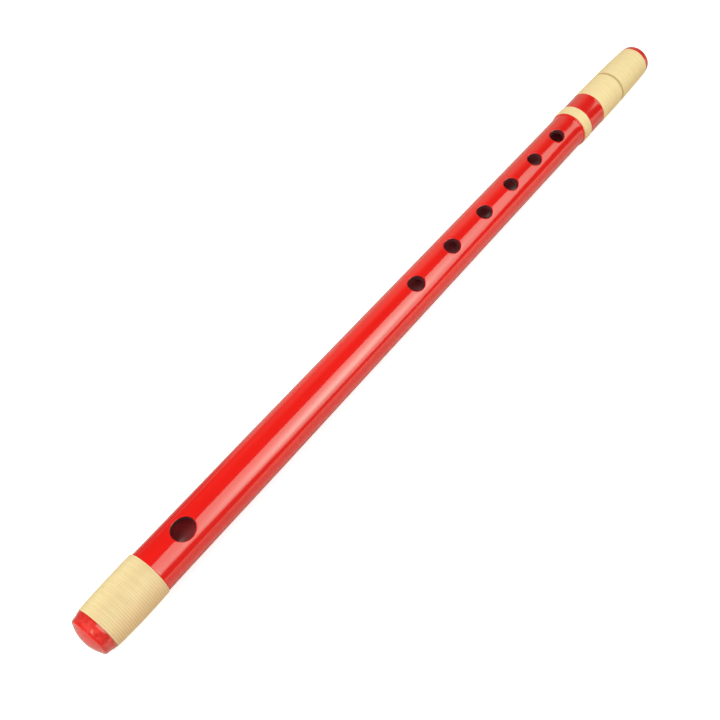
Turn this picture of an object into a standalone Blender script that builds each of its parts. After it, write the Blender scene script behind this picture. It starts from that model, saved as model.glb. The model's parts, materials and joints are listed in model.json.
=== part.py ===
"""Shinobue: a Japanese side-blown bamboo flute, modelled as its separate pieces.

Units are metres and +Z is up. The flute lies on a level surface with its head towards -X,
its tail towards +X and its holes facing up. It rests on the head winding and on the narrow
band, which are its two thickest places, so its axis falls very slightly towards the tail.

Every piece is made round the flute's own axis, local Z, starting at the tip of the head and
ending at the tail, and then rides on one empty that lays this axis down. Local -X faces up.
"""

import math

import bmesh
import bpy
import numpy as np
from mathutils import Matrix, Vector

MM = 0.001

# Sections along the axis, in order from the tip of the head to the tail
DOME_HEIGHT = 3.0 * MM
HEAD_RING_LENGTH = 4.1 * MM
HEAD_WINDING_LENGTH = 29.2 * MM
HEAD_WINDING_TO_MOUTH = 20.2 * MM
MOUTH_TO_FIRST_HOLE = 160.5 * MM
FINGER_HOLE_STEPS = (29.4 * MM, 27.9 * MM, 23.8 * MM, 22.1 * MM, 21.7 * MM)
LAST_HOLE_TO_BAND = 16.6 * MM
BAND_WINDING_LENGTH = 6.5 * MM
BAND_TO_TAIL_WINDING = 13.1 * MM
TAIL_FRONT_LENGTH = 19.8 * MM
TAIL_LAND_LENGTH = 1.8 * MM
TAIL_REAR_LENGTH = 26.2 * MM
TAIL_RIM_LENGTH = 3.8 * MM

# Bore and wall, lacquer included, and where the barrel changes its radius
BORE_RADIUS = 6.75 * MM
BARREL_WALL = 3.75 * MM
NECK_LENGTH = 12.0 * MM
TAPER_AFTER_MOUTH = 53.0 * MM
FLARE_LENGTH = 6.5 * MM

# How much the outside rises or drops from each section to the next
HEAD_END_DROP = 0.65 * MM
HEAD_RING_DROP = 0.25 * MM
NECK_RISE = 0.07 * MM
BARREL_TAPER = 0.86 * MM
FLARE_RISE = 0.38 * MM
TAIL_LAND_DROP = 0.32 * MM
TAIL_RIM_DROP = 0.7 * MM
TAIL_FACE_WIDTH = 1.05 * MM

# Openings, each given along the tube and across it
MOUTH_HOLE = (11.4 * MM, 9.9 * MM)
FINGER_HOLES = (
    (9.2 * MM, 8.0 * MM),
    (9.0 * MM, 8.0 * MM),
    (8.7 * MM, 7.6 * MM),
    (8.3 * MM, 7.2 * MM),
    (8.1 * MM, 7.2 * MM),
    (8.5 * MM, 7.5 * MM),
)

# Head plug and stopper
DOME_INSET = 0.1 * MM
DOME_LIP = 0.5 * MM
PLUG_LENGTH = 12.0 * MM
PLUG_ROUNDING = 0.6 * MM
STOPPER_LENGTH = 15.0 * MM
STOPPER_TO_MOUTH_HOLE = 1.5 * MM

# The rattan strip, and how far each winding stands proud of the bamboo beside its first turn
# and its last turn, and how much it swells between them
STRIP_WIDTH = 0.78 * MM
STRIP_THICKNESS = 0.4 * MM
STRIP_PITCH = 1.2 * MM
HEAD_WINDING_PROUD = (0.4 * MM, 0.43 * MM, 0.375 * MM)
BAND_WINDING_PROUD = (0.26 * MM, 0.26 * MM, 0.0)
TAIL_FRONT_PROUD = (0.16 * MM, 0.29 * MM, 0.0)
TAIL_REAR_PROUD = (0.28 * MM, 0.08 * MM, 0.07 * MM)

# Clearance between neighbouring pieces, and how deep the strip is worn flat where it rests
PIECE_GAP = 0.3 * MM
REST_FLAT = STRIP_THICKNESS / 10

# Fineness of the round shapes
ROUND_STEPS = 48
HOLE_STEPS = 32
ARC_STEPS = 4
EDGE_STEPS = 2
SEAT_STEPS = 6
DOME_STEPS = 7
POINTS_PER_TURN = 17
SMOOTH_BELOW = math.radians(30)
WELD_DISTANCE = 0.001 * MM

# Colours and roughness
LACQUER = ((0.80, 0.016, 0.012), 0.12)
RATTAN = ((0.88, 0.70, 0.36), 0.45)
CORK = ((0.48, 0.29, 0.15), 0.8)

# Stations along the axis, worked out from the sections above
TUBE_START = DOME_HEIGHT + PIECE_GAP
HEAD_SEAT_START = TUBE_START + HEAD_RING_LENGTH
HEAD_SEAT_END = HEAD_SEAT_START + HEAD_WINDING_LENGTH
MOUTH_AT = HEAD_SEAT_END + HEAD_WINDING_TO_MOUTH
FIRST_HOLE_AT = MOUTH_AT + MOUTH_TO_FIRST_HOLE
FINGER_HOLES_AT = [FIRST_HOLE_AT + sum(FINGER_HOLE_STEPS[:i]) for i in range(len(FINGER_HOLES))]
BAND_SEAT_START = FINGER_HOLES_AT[-1] + LAST_HOLE_TO_BAND
BAND_SEAT_END = BAND_SEAT_START + BAND_WINDING_LENGTH
FRONT_SEAT_START = BAND_SEAT_END + BAND_TO_TAIL_WINDING
FRONT_SEAT_END = FRONT_SEAT_START + TAIL_FRONT_LENGTH
REAR_SEAT_START = FRONT_SEAT_END + TAIL_LAND_LENGTH
REAR_SEAT_END = REAR_SEAT_START + TAIL_REAR_LENGTH
FLUTE_LENGTH = REAR_SEAT_END + TAIL_RIM_LENGTH

# Radii outside, worked out from the bore, the wall and the steps above
BARREL_RADIUS = BORE_RADIUS + BARREL_WALL
HEAD_RING_RADIUS = BARREL_RADIUS - HEAD_RING_DROP
HEAD_END_RADIUS = HEAD_RING_RADIUS - HEAD_END_DROP
NECK_RADIUS = BARREL_RADIUS + NECK_RISE
BARREL_TAIL_RADIUS = BARREL_RADIUS - BARREL_TAPER
COLLAR_RADIUS = BARREL_TAIL_RADIUS + FLARE_RISE
TAIL_LAND_RADIUS = COLLAR_RADIUS - TAIL_LAND_DROP
TAIL_RIM_RADIUS = TAIL_LAND_RADIUS - TAIL_RIM_DROP
TAIL_FACE_RADIUS = BORE_RADIUS + TAIL_FACE_WIDTH
DOME_RADIUS = HEAD_END_RADIUS - DOME_INSET


def radii_of_turns(beside_first, beside_last, proud):
    """Radii outside a winding's first and last turns, and its swell, from the bamboo beside it."""
    return (beside_first + proud[0], beside_last + proud[1], proud[2])


# Each winding's seat: where it starts, where it ends, and the radii outside the turns in it
HEAD_SEAT = (
    HEAD_SEAT_START,
    HEAD_SEAT_END,
    radii_of_turns(HEAD_RING_RADIUS, NECK_RADIUS, HEAD_WINDING_PROUD),
)
BAND_SEAT = (
    BAND_SEAT_START,
    BAND_SEAT_END,
    radii_of_turns(COLLAR_RADIUS, COLLAR_RADIUS, BAND_WINDING_PROUD),
)
TAIL_FRONT_SEAT = (
    FRONT_SEAT_START,
    FRONT_SEAT_END,
    radii_of_turns(COLLAR_RADIUS, TAIL_LAND_RADIUS, TAIL_FRONT_PROUD),
)
TAIL_REAR_SEAT = (
    REAR_SEAT_START,
    REAR_SEAT_END,
    radii_of_turns(TAIL_LAND_RADIUS, TAIL_RIM_RADIUS, TAIL_REAR_PROUD),
)
WINDINGS = {
    "head_winding": HEAD_SEAT,
    "band_winding": BAND_SEAT,
    "tail_winding_front": TAIL_FRONT_SEAT,
    "tail_winding_rear": TAIL_REAR_SEAT,
}


def clear_scene():
    for obj in list(bpy.data.objects):
        bpy.data.objects.remove(obj, do_unlink=True)


def new_collection(name):
    collection = bpy.data.collections.new(name)
    bpy.context.scene.collection.children.link(collection)
    return collection


def material(name, look):
    """A plain Principled material of this colour and roughness."""
    colour, roughness = look
    made = bpy.data.materials.new(name)
    made.use_nodes = True
    shader = made.node_tree.nodes["Principled BSDF"]
    shader.inputs["Base Color"].default_value = (*colour, 1.0)
    shader.inputs["Roughness"].default_value = roughness
    shader.inputs["Metallic"].default_value = 0.0
    return made


def arc(centre, radii, start, end, steps=ARC_STEPS):
    """Points (radius, height) along part of an ellipse, angles in degrees from outwards."""
    points = []
    for i in range(steps + 1):
        angle = math.radians(start + (end - start) * i / steps)
        points.append((centre[0] + radii[0] * math.cos(angle), centre[1] + radii[1] * math.sin(angle)))
    return points


def add_object(name, data, collection, axis):
    """A new object in this collection that rides on the flute's axis."""
    obj = bpy.data.objects.new(name, data)
    collection.objects.link(obj)
    obj.parent = axis
    return obj


def turned(name, profile, closed, collection, axis):
    """A round object from a profile that runs down its outer side, from the tail end to the head."""
    bm = bmesh.new()
    points = [bm.verts.new((radius, 0.0, along)) for radius, along in profile]
    for first, second in zip(points, points[1:]):
        bm.edges.new((first, second))
    if closed:
        bm.edges.new((points[-1], points[0]))
    mesh = bpy.data.meshes.new(name)
    bm.to_mesh(mesh)
    bm.free()
    obj = add_object(name, mesh, collection, axis)
    screw = obj.modifiers.new("Turned", "SCREW")
    screw.axis = "Z"
    screw.steps = ROUND_STEPS
    screw.render_steps = ROUND_STEPS
    screw.use_merge_vertices = True
    screw.merge_threshold = WELD_DISTANCE
    return obj


def cut(obj, cutter):
    boolean = obj.modifiers.new(cutter.name, "BOOLEAN")
    boolean.operation = "DIFFERENCE"
    boolean.solver = "EXACT"
    boolean.object = cutter


def as_cutter(obj):
    obj.hide_render = True
    obj.display_type = "WIRE"
    return obj


def evaluated_mesh(obj):
    """The mesh that an object's curve or modifiers make."""
    bpy.context.view_layer.update()
    graph = bpy.context.evaluated_depsgraph_get()
    return bpy.data.meshes.new_from_object(obj.evaluated_get(graph))


def finish(obj, look):
    """Keeps the cut mesh, smooth except at its real edges, and gives it its own material."""
    mesh = evaluated_mesh(obj)
    obj.modifiers.clear()
    obj.data = mesh
    mesh.shade_smooth()
    mesh.set_sharp_from_angle(angle=SMOOTH_BELOW)
    mesh.materials.clear()
    mesh.materials.append(material(obj.name, look))


def winding_radius(radii, share):
    """Radius outside the turns at this share of the winding's length."""
    first, last, swell = radii
    return first + (last - first) * share + 4 * swell * share * (1 - share)


def winding_outline(start, end, radii):
    """Points (distance along the axis, radius) outside a winding, few where it is straight."""
    steps = SEAT_STEPS if radii[2] else 1
    shares = [i / steps for i in range(steps + 1)]
    return [(start + (end - start) * share, winding_radius(radii, share)) for share in shares]


def seat_outline(start, end, radii):
    """Points (radius, distance) on the shaved seat that a winding lies in."""
    depth = STRIP_THICKNESS + PIECE_GAP
    return [(radius - depth, along) for along, radius in winding_outline(start, end, radii)]


def barrel_outline():
    """Points (radius, distance) on the lacquered barrel between the head winding and the band."""
    return [
        (NECK_RADIUS, HEAD_SEAT_END),
        (BARREL_RADIUS, HEAD_SEAT_END + NECK_LENGTH),
        (BARREL_RADIUS, MOUTH_AT + TAPER_AFTER_MOUTH),
        (BARREL_TAIL_RADIUS, FINGER_HOLES_AT[-1]),
    ] + arc(
        (COLLAR_RADIUS, BAND_SEAT_START - FLARE_LENGTH),
        (COLLAR_RADIUS - BARREL_TAIL_RADIUS, FLARE_LENGTH),
        180,
        90,
    )


def make_tube(parts, cutters, axis):
    """The bamboo body: one bored piece with its seats, its mouth hole and its finger holes."""
    outer = [(HEAD_END_RADIUS, TUBE_START), (HEAD_RING_RADIUS, HEAD_SEAT_START)]
    outer += seat_outline(*HEAD_SEAT)
    outer += barrel_outline()
    outer += seat_outline(*BAND_SEAT)
    outer += [(COLLAR_RADIUS, BAND_SEAT_END), (COLLAR_RADIUS, FRONT_SEAT_START)]
    outer += seat_outline(*TAIL_FRONT_SEAT)
    outer += [(TAIL_LAND_RADIUS, FRONT_SEAT_END), (TAIL_LAND_RADIUS, REAR_SEAT_START)]
    outer += seat_outline(*TAIL_REAR_SEAT)
    rim = (TAIL_RIM_RADIUS - TAIL_FACE_RADIUS, TAIL_RIM_LENGTH)
    outer += arc((TAIL_FACE_RADIUS, REAR_SEAT_END), rim, 0, 90)
    bore = [(BORE_RADIUS, TUBE_START), (BORE_RADIUS, FLUTE_LENGTH)]
    tube = turned("bamboo_tube", outer[::-1] + bore, True, parts, axis)
    cut(tube, hole_cutter("mouth_hole_cutter", MOUTH_AT, MOUTH_HOLE, cutters, axis))
    for number, (along, size) in enumerate(zip(FINGER_HOLES_AT, FINGER_HOLES), 1):
        cut(tube, hole_cutter(f"finger_hole_{number}_cutter", along, size, cutters, axis))
    finish(tube, LACQUER)


def hole_cutter(name, along, size, cutters, axis):
    """An oval rod from the axis out through the upper wall of the tube."""
    length, width = size
    rod_length = 2 * BARREL_RADIUS
    middle = Matrix.Translation(Vector((-rod_length / 2, 0.0, along)))
    upright = Matrix.Rotation(math.radians(-90), 4, "Y")
    oval = Matrix.Diagonal((length, width, rod_length, 1.0))
    bm = bmesh.new()
    bmesh.ops.create_cone(
        bm, cap_ends=True, segments=HOLE_STEPS, radius1=0.5, radius2=0.5, depth=1.0,
        matrix=middle @ upright @ oval,
    )
    mesh = bpy.data.meshes.new(name)
    bm.to_mesh(mesh)
    bm.free()
    return as_cutter(add_object(name, mesh, cutters, axis))


def make_head_plug(parts, axis):
    """The domed plug: its lip covers the tube's end and its shank fills the bore."""
    shank = BORE_RADIUS - PIECE_GAP
    shank_end = TUBE_START + PLUG_LENGTH
    rounding = (PLUG_ROUNDING, PLUG_ROUNDING)
    crown = DOME_HEIGHT - DOME_LIP
    sphere = (DOME_RADIUS**2 + crown**2) / (2 * crown)
    edge_angle = math.degrees(math.asin(DOME_RADIUS / sphere)) - 90
    profile = [(0.0, shank_end)]
    profile += arc((shank - PLUG_ROUNDING, shank_end - PLUG_ROUNDING), rounding, 90, 0, EDGE_STEPS)
    profile += [(shank, DOME_HEIGHT), (DOME_RADIUS, DOME_HEIGHT)]
    profile += arc((0.0, sphere), (sphere, sphere), edge_angle, -90, DOME_STEPS)
    plug = turned("head_plug", profile, False, parts, axis)
    finish(plug, LACQUER)


def make_stopper(parts, axis):
    """The cork that ends the air column, just on the head side of the mouth hole."""
    radius = BORE_RADIUS - PIECE_GAP
    face = MOUTH_AT - MOUTH_HOLE[0] / 2 - STOPPER_TO_MOUTH_HOLE
    back = face - STOPPER_LENGTH
    rounding = (PLUG_ROUNDING, PLUG_ROUNDING)
    profile = [(0.0, face)]
    profile += arc((radius - PLUG_ROUNDING, face - PLUG_ROUNDING), rounding, 90, 0, EDGE_STEPS)
    profile += arc((radius - PLUG_ROUNDING, back + PLUG_ROUNDING), rounding, 0, -90, EDGE_STEPS)
    profile += [(0.0, back)]
    stopper = turned("stopper", profile, False, parts, axis)
    finish(stopper, CORK)


def strip_section(cutters):
    """The strip's cross-section for the windings to follow: its width lies along the flute."""
    curve = bpy.data.curves.new("strip_section", "CURVE")
    curve.dimensions = "2D"
    spline = curve.splines.new("POLY")
    spline.points.add(3)
    corners = ((-0.5, -0.5), (0.5, -0.5), (0.5, 0.5), (-0.5, 0.5))
    for point, (out, along) in zip(spline.points, corners):
        point.co = (out * STRIP_THICKNESS, along * STRIP_WIDTH, 0.0, 1.0)
    spline.use_cyclic_u = True
    return as_cutter(add_object("strip_section", curve, cutters, None))


def make_winding(name, seat, section, ground, parts, axis):
    """One unbroken flat strip, wound in even turns from one end of its seat to the other.

    A flat side of every turn faces straight down. The first and last stretches are single
    straight sides, longer than the strip is wide, and are cut off square. Where the flute
    rests on it, the strip is worn flat.
    """
    start, end, radii = seat
    first = start + PIECE_GAP + STRIP_WIDTH / 2
    travel = end - start - 2 * PIECE_GAP - STRIP_WIDTH
    sides = math.floor(travel / STRIP_PITCH * POINTS_PER_TURN)
    half_side = math.pi / POINTS_PER_TURN
    curve = bpy.data.curves.new(name, "CURVE")
    curve.dimensions = "3D"
    curve.twist_mode = "Z_UP"
    curve.bevel_mode = "OBJECT"
    curve.bevel_object = section
    curve.use_fill_caps = True
    spline = curve.splines.new("POLY")
    spline.points.add(sides)
    for i, point in enumerate(spline.points):
        along = first + travel * i / sides
        middle = winding_radius(radii, (along - start) / (end - start)) - STRIP_THICKNESS / 2
        corner = middle / math.cos(half_side)
        angle = (2 * i + 1) * half_side
        point.co = (corner * math.cos(angle), corner * math.sin(angle), along, 1.0)
    guide = add_object(name + "_guide", curve, parts, None)
    winding = add_object(name, evaluated_mesh(guide), parts, axis)
    bpy.data.objects.remove(guide, do_unlink=True)
    print_least_gap(winding, sides)
    close_ends(winding.data)
    cut(winding, ground)
    finish(winding, RATTAN)


def close_ends(mesh):
    """Welds the loose end faces of a swept strip to its sides and turns them outwards."""
    bm = bmesh.new()
    bm.from_mesh(mesh)
    bmesh.ops.remove_doubles(bm, verts=bm.verts, dist=WELD_DISTANCE)
    bmesh.ops.recalc_face_normals(bm, faces=bm.faces)
    bm.to_mesh(mesh)
    bm.free()


def print_least_gap(winding, sides):
    """Prints how near the strip comes to itself, between corners at least half a turn apart."""
    corners = [vertex.co for vertex in winding.data.vertices]
    sections = np.array(corners[: 4 * (sides + 1)]).reshape(sides + 1, 4, 3)
    least = math.inf
    for apart in range(POINTS_PER_TURN // 2, sides + 1):
        spans = sections[apart:, :, None] - sections[:-apart, None, :]
        least = min(least, np.linalg.norm(spans, axis=-1).min())
    turns = sides / POINTS_PER_TURN
    print(f"{winding.name}: {turns:.2f} turns, least gap to itself {least / MM:.3f} mm")


def lay_down(axis):
    """Tilts and raises the axis so that the windings just stand on the ground."""
    rest_at, rest_radius = max(winding_outline(*HEAD_SEAT), key=lambda point: point[1])
    behind = [(along, radius) for radius, along in barrel_outline()]
    for seat in (BAND_SEAT, TAIL_FRONT_SEAT, TAIL_REAR_SEAT):
        behind += winding_outline(*seat)
    tilt = math.atan(min((rest_radius - radius) / (along - rest_at) for along, radius in behind))
    height = rest_radius * math.cos(tilt) + rest_at * math.sin(tilt) - REST_FLAT
    axis.rotation_euler = (0.0, math.radians(90) + tilt, 0.0)
    axis.location = (-FLUTE_LENGTH / 2, 0.0, height)
    print(f"axis falls {math.degrees(tilt):.3f} degrees from {height / MM:.3f} mm above the ground")


def ground_cutter(cutters):
    """A slab whose upper face is the level that the flute lies on."""
    thickness = BARREL_RADIUS
    size = Matrix.Diagonal((2 * FLUTE_LENGTH, 4 * BARREL_RADIUS, thickness, 1.0))
    bm = bmesh.new()
    bmesh.ops.create_cube(bm, size=1.0, matrix=Matrix.Translation((0, 0, -thickness / 2)) @ size)
    mesh = bpy.data.meshes.new("ground_cutter")
    bm.to_mesh(mesh)
    bm.free()
    return as_cutter(add_object("ground_cutter", mesh, cutters, None))


def main():
    clear_scene()
    parts = new_collection("shinobue")
    cutters = new_collection("cutters")
    axis = add_object("flute_axis", None, parts, None)
    lay_down(axis)
    ground = ground_cutter(cutters)
    make_tube(parts, cutters, axis)
    make_head_plug(parts, axis)
    make_stopper(parts, axis)
    section = strip_section(cutters)
    for name, seat in WINDINGS.items():
        make_winding(name, seat, section, ground, parts, axis)


main()
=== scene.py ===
# %% [markdown]
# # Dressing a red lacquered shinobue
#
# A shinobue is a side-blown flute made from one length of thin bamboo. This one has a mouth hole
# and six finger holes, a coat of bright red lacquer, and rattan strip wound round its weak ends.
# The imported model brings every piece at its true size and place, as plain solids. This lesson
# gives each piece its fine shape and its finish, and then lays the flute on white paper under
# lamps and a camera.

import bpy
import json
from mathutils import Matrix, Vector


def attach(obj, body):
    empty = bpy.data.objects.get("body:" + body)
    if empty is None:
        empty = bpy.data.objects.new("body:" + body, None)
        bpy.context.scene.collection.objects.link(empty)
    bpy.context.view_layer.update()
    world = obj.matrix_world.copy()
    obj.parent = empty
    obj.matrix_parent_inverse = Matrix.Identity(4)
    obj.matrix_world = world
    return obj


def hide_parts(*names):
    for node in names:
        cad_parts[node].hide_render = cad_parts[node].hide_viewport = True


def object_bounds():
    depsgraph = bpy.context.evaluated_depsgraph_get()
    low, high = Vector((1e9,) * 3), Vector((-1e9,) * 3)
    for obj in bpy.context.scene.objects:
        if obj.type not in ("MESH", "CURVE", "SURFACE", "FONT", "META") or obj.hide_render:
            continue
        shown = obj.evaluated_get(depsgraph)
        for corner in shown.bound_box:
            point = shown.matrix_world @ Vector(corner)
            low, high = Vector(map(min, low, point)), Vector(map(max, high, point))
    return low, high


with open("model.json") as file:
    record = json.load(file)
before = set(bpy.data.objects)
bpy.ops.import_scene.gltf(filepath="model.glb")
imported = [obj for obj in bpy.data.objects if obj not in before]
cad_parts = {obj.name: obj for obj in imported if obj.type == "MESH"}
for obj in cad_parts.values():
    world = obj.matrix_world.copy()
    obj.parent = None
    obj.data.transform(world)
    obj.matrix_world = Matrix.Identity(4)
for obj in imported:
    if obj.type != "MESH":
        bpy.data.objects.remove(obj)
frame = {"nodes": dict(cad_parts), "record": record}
cad_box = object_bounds()
print("pieces in the frame:", ", ".join(sorted(frame["nodes"])))

# %% [markdown]
# ## The flute's own axis
#
# Almost everything on a flute is round, so it is easiest to model it lying along X with the tip of
# its closed head at zero. The real flute lies on its two thickest places, which tilts it by a
# sixth of a degree. Both could be built tilted from the start, but round shapes are simpler on a
# level bench. So the pieces are made on a bench where one unit is one millimetre, and a single
# matrix then shrinks them to metres and lays them down on the frame's axis. That axis is read
# from the frame: the tail face's mount gives its direction and its far end.

# %% Find the axis and the way from the bench to the frame
import json
import math

import bmesh
import bpy
from mathutils import Matrix, Vector, noise

MM = 0.001
tail_mount = next(m for m in frame["record"]["mounts"] if m["name"] == "tail_face")
axis_direction = Vector(tail_mount["axis"]).normalized()
tail_end = Vector((tail_mount["pos_m"][0], 0.0, tail_mount["pos_m"][2]))
flute_length = (tail_end.x - cad_box[0].x) / axis_direction.x
dome_tip = tail_end - flute_length * axis_direction
turn_down = Vector((1, 0, 0)).rotation_difference(axis_direction).to_matrix().to_4x4()
BENCH_TO_FRAME = Matrix.Translation(dome_tip) @ turn_down @ Matrix.Scale(MM, 4)
FRAME_TO_BENCH = BENCH_TO_FRAME.inverted()
print(f"the flute is {flute_length / MM:.1f} mm long and its axis starts at {dome_tip / MM}")

# %% [markdown]
# ## Measuring the frame
#
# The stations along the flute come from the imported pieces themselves, so a change of size in the
# model moves the dressed piece with it. The tube is turned, so its whole outline can be read along
# its underside, where no hole is cut.

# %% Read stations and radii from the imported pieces
SEAT_GAP = 0.3
ON_AXIS = 0.01


def on_bench(node):
    """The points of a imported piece, in millimetres on the bench."""
    return [FRAME_TO_BENCH @ vertex.co for vertex in frame["nodes"][node].data.vertices]


def seat_of(node):
    """Where the seat of a winding starts and ends: the strip lies in it with a small gap."""
    along = [point.x for point in on_bench(node)]
    return min(along) - SEAT_GAP, max(along) + SEAT_GAP


def underside(node):
    """The outer outline of a turned piece as (along, radius), read straight below its axis."""
    rings = {}
    for point in on_bench(node):
        if abs(point.y) < ON_AXIS and point.z < 0:
            along = round(point.x, 2)
            rings[along] = max(rings.get(along, 0.0), -point.z)
    return sorted(rings.items())


tube_outline = underside("bamboo_tube")
tube_start, tube_end = tube_outline[0][0], tube_outline[-1][0]
head_seat = seat_of("head_winding")
band_seat = seat_of("band_winding")
front_seat = seat_of("tail_winding_front")
rear_seat = seat_of("tail_winding_rear")
for title, seat in (("head", head_seat), ("band", band_seat), ("front", front_seat), ("rear", rear_seat)):
    print(f"{title} seat from {seat[0]:.2f} to {seat[1]:.2f} mm")

# %% [markdown]
# The lacquered skin between two seats is a run of that outline. A function that gives the radius
# at any station lets later steps put rings, hole rims and ripples exactly on the skin. Before the
# narrow band the barrel flares, slowly at first and then fast, which a high power draws.

# %% Give the radius of the skin at any station
NEAR = 0.05
FLARE_POINTS, FLARE_SHARPNESS = 20, 8


def skin_run(start, end):
    """The outline's own points from one station to another, both included."""
    return [(a, r) for a, r in tube_outline if start - NEAR <= a <= end + NEAR]


def radius_on(run, along):
    """The radius at a station, on the lines between a run's points; the flare is a soft curve."""
    if run is barrel_run and along > flare_start:
        share = (along - flare_start) / (run[-1][0] - flare_start)
        foot = run_radius(run, flare_start)
        return foot + (run[-1][1] - foot) * share**FLARE_SHARPNESS
    return run_radius(run, along)


def run_radius(run, along):
    """The radius at a station, on the straight lines between a run's points."""
    if along <= run[0][0]:
        return run[0][1]
    for (a, r), (b, s) in zip(run, run[1:]):
        if along <= b:
            return r + (s - r) * (along - a) / (b - a)
    return run[-1][1]


ring_run = skin_run(tube_start, head_seat[0])
barrel_run = skin_run(head_seat[1], band_seat[0])
last_points = barrel_run[-FLARE_POINTS:]
thinnest = min(r for _, r in last_points)
flare_start = max(a for a, r in last_points if r < thinnest + NEAR / 10)
collar_run = skin_run(band_seat[1], front_seat[0])
land_run = skin_run(front_seat[1], rear_seat[0])
rim_run = skin_run(rear_seat[1], tube_end)
print(f"barrel {2 * radius_on(barrel_run, 60.0):.2f} mm thick near the mouth hole")
print(f"the barrel flares from {flare_start:.1f} mm to the band at {band_seat[0]:.1f} mm")

# %% [markdown]
# ## Helpers for work in edit mode
#
# An operator acts on all that is selected, so each piece starts with nothing selected, and faces
# and edges are then picked in code by where they are. A turned piece is drawn as an outline, one
# vertex pulled out of the last, and spun round the axis, as on a lathe.

# %% Start a piece, pick its edges and faces, and turn an outline
WELD = 0.002
SIDES = 96


def start_piece(name, add, **settings):
    """Adds a primitive with nothing else selected and opens it in edit mode."""
    bpy.ops.object.select_all(action="DESELECT")
    add(**settings)
    piece = bpy.context.object
    piece.name = name
    piece.data.name = name
    bpy.ops.object.mode_set(mode="EDIT")
    bpy.ops.mesh.select_mode(type="VERT")
    return piece


def pick(piece, kind, rule):
    """Selects the verts, edges or faces of the open piece that a rule says yes to."""
    bpy.ops.mesh.select_mode(type=kind)
    bpy.ops.mesh.select_all(action="DESELECT")
    mesh = bmesh.from_edit_mesh(piece.data)
    for part in {"VERT": mesh.verts, "EDGE": mesh.edges, "FACE": mesh.faces}[kind]:
        if rule(part):
            part.select_set(True)
    bmesh.update_edit_mesh(piece.data)


def turned(name, outline, sides=SIDES):
    """Draws an outline of (along, radius) points above the axis and spins it all the way round."""
    piece = start_piece(name, bpy.ops.mesh.primitive_plane_add, size=1.0)
    bpy.ops.mesh.merge(type="CENTER")
    bpy.ops.transform.translate(value=(outline[0][0], 0.0, outline[0][1]))
    for (along, radius), (next_along, next_radius) in zip(outline, outline[1:]):
        pull = (next_along - along, 0.0, next_radius - radius)
        bpy.ops.mesh.extrude_region_move(TRANSFORM_OT_translate={"value": pull})
    bpy.ops.mesh.select_all(action="SELECT")
    bpy.ops.mesh.spin(steps=sides, angle=math.tau, center=(0, 0, 0), axis=(1, 0, 0))
    bpy.ops.mesh.select_all(action="SELECT")
    bpy.ops.mesh.remove_doubles(threshold=WELD)
    bpy.ops.mesh.normals_make_consistent(inside=False)
    return piece


print(f"a turned piece has {SIDES} sides, and points within {WELD} mm are welded")

# %% [markdown]
# When a piece is shaped it leaves edit mode, is shaded smooth except at its real edges, and is laid
# down in the frame. Its mesh takes the matrix, so its object stays at the origin, unturned.

# %% Lay a finished piece down
CREASE = math.radians(35)


def lay_down(piece, crease=CREASE):
    """Shades a piece, moves its mesh from the bench into the frame and says how large it is."""
    bpy.ops.object.mode_set(mode="OBJECT")
    bpy.ops.object.shade_smooth_by_angle(angle=crease)
    piece.data.transform(BENCH_TO_FRAME)
    piece.data.update()
    triangles = sum(len(face.vertices) - 2 for face in piece.data.polygons)
    print(f"{piece.name}: {triangles} triangles")


def stands_for(piece, node):
    """The piece rides on the flute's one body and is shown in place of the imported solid."""
    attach(piece, "root")
    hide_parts(node)


print(f"edges sharper than {math.degrees(CREASE):.0f} degrees stay sharp")

# %% [markdown]
# ## The tube's outline
#
# The tube is one piece of bamboo, but its outline has much to tell. Lacquer is brushed on after
# the seats are cut, and its surface tension pulls it into a small bead along every edge, which
# catches a thin line of light. Then come the seats, shaved down so that the rattan lies in them,
# and a rounded rim at the tail. A plain cylinder with bevelled edges would lose those beads, so
# the outline is drawn with them and turned.

# %% Draw the beads, the seats and the rim
BEAD = ((1.3, 0.0), (0.95, 0.012), (0.6, 0.045), (0.3, 0.055), (0.1, 0.02), (0.0, -0.08))
SEAT_DEPTH = 0.62
JOINT = 3.13
JOINT_ROUNDING = 0.02
BORE_RADIUS = min(math.hypot(p.y, p.z) for p in on_bench("bamboo_tube"))
BORE_EDGE = 0.35
CORNER_STEPS, RIM_STEPS, RING_STEPS = 4, 10, 8


def bead_down(at, radius):
    """Lacquer beads up at the end of a skin, before the outline drops into a seat."""
    return [(at - back, radius + rise) for back, rise in BEAD]


def bead_up(at, radius):
    """The same bead where the outline comes out of a seat."""
    return [(at + back, radius + rise) for back, rise in reversed(BEAD)]


def rounded_corner(centre, radii, start, end, steps):
    """Points along part of an ellipse, with angles in degrees from the flute's head to tail."""
    points = []
    for i in range(steps + 1):
        angle = math.radians(start + (end - start) * i / steps)
        points.append((centre[0] + radii[0] * math.cos(angle), centre[1] + radii[1] * math.sin(angle)))
    return points


print(f"bore {2 * BORE_RADIUS:.2f} mm")

# %% [markdown]
# ## Rings where the holes will be
#
# The holes could be cut with a Boolean, but its ragged triangles would show in every reflection
# on such glossy lacquer. So each hole is modelled into the grid instead: the tube gets closer
# rings there, a window of faces is taken out, and the window's edge is bridged to an oval rim that
# has just as many points. The inner window is narrower in rings and wider in sides, and its edge
# has the same number of points too: 2 x (20 + 20) outside and 2 x (32 + 8) inside.

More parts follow.
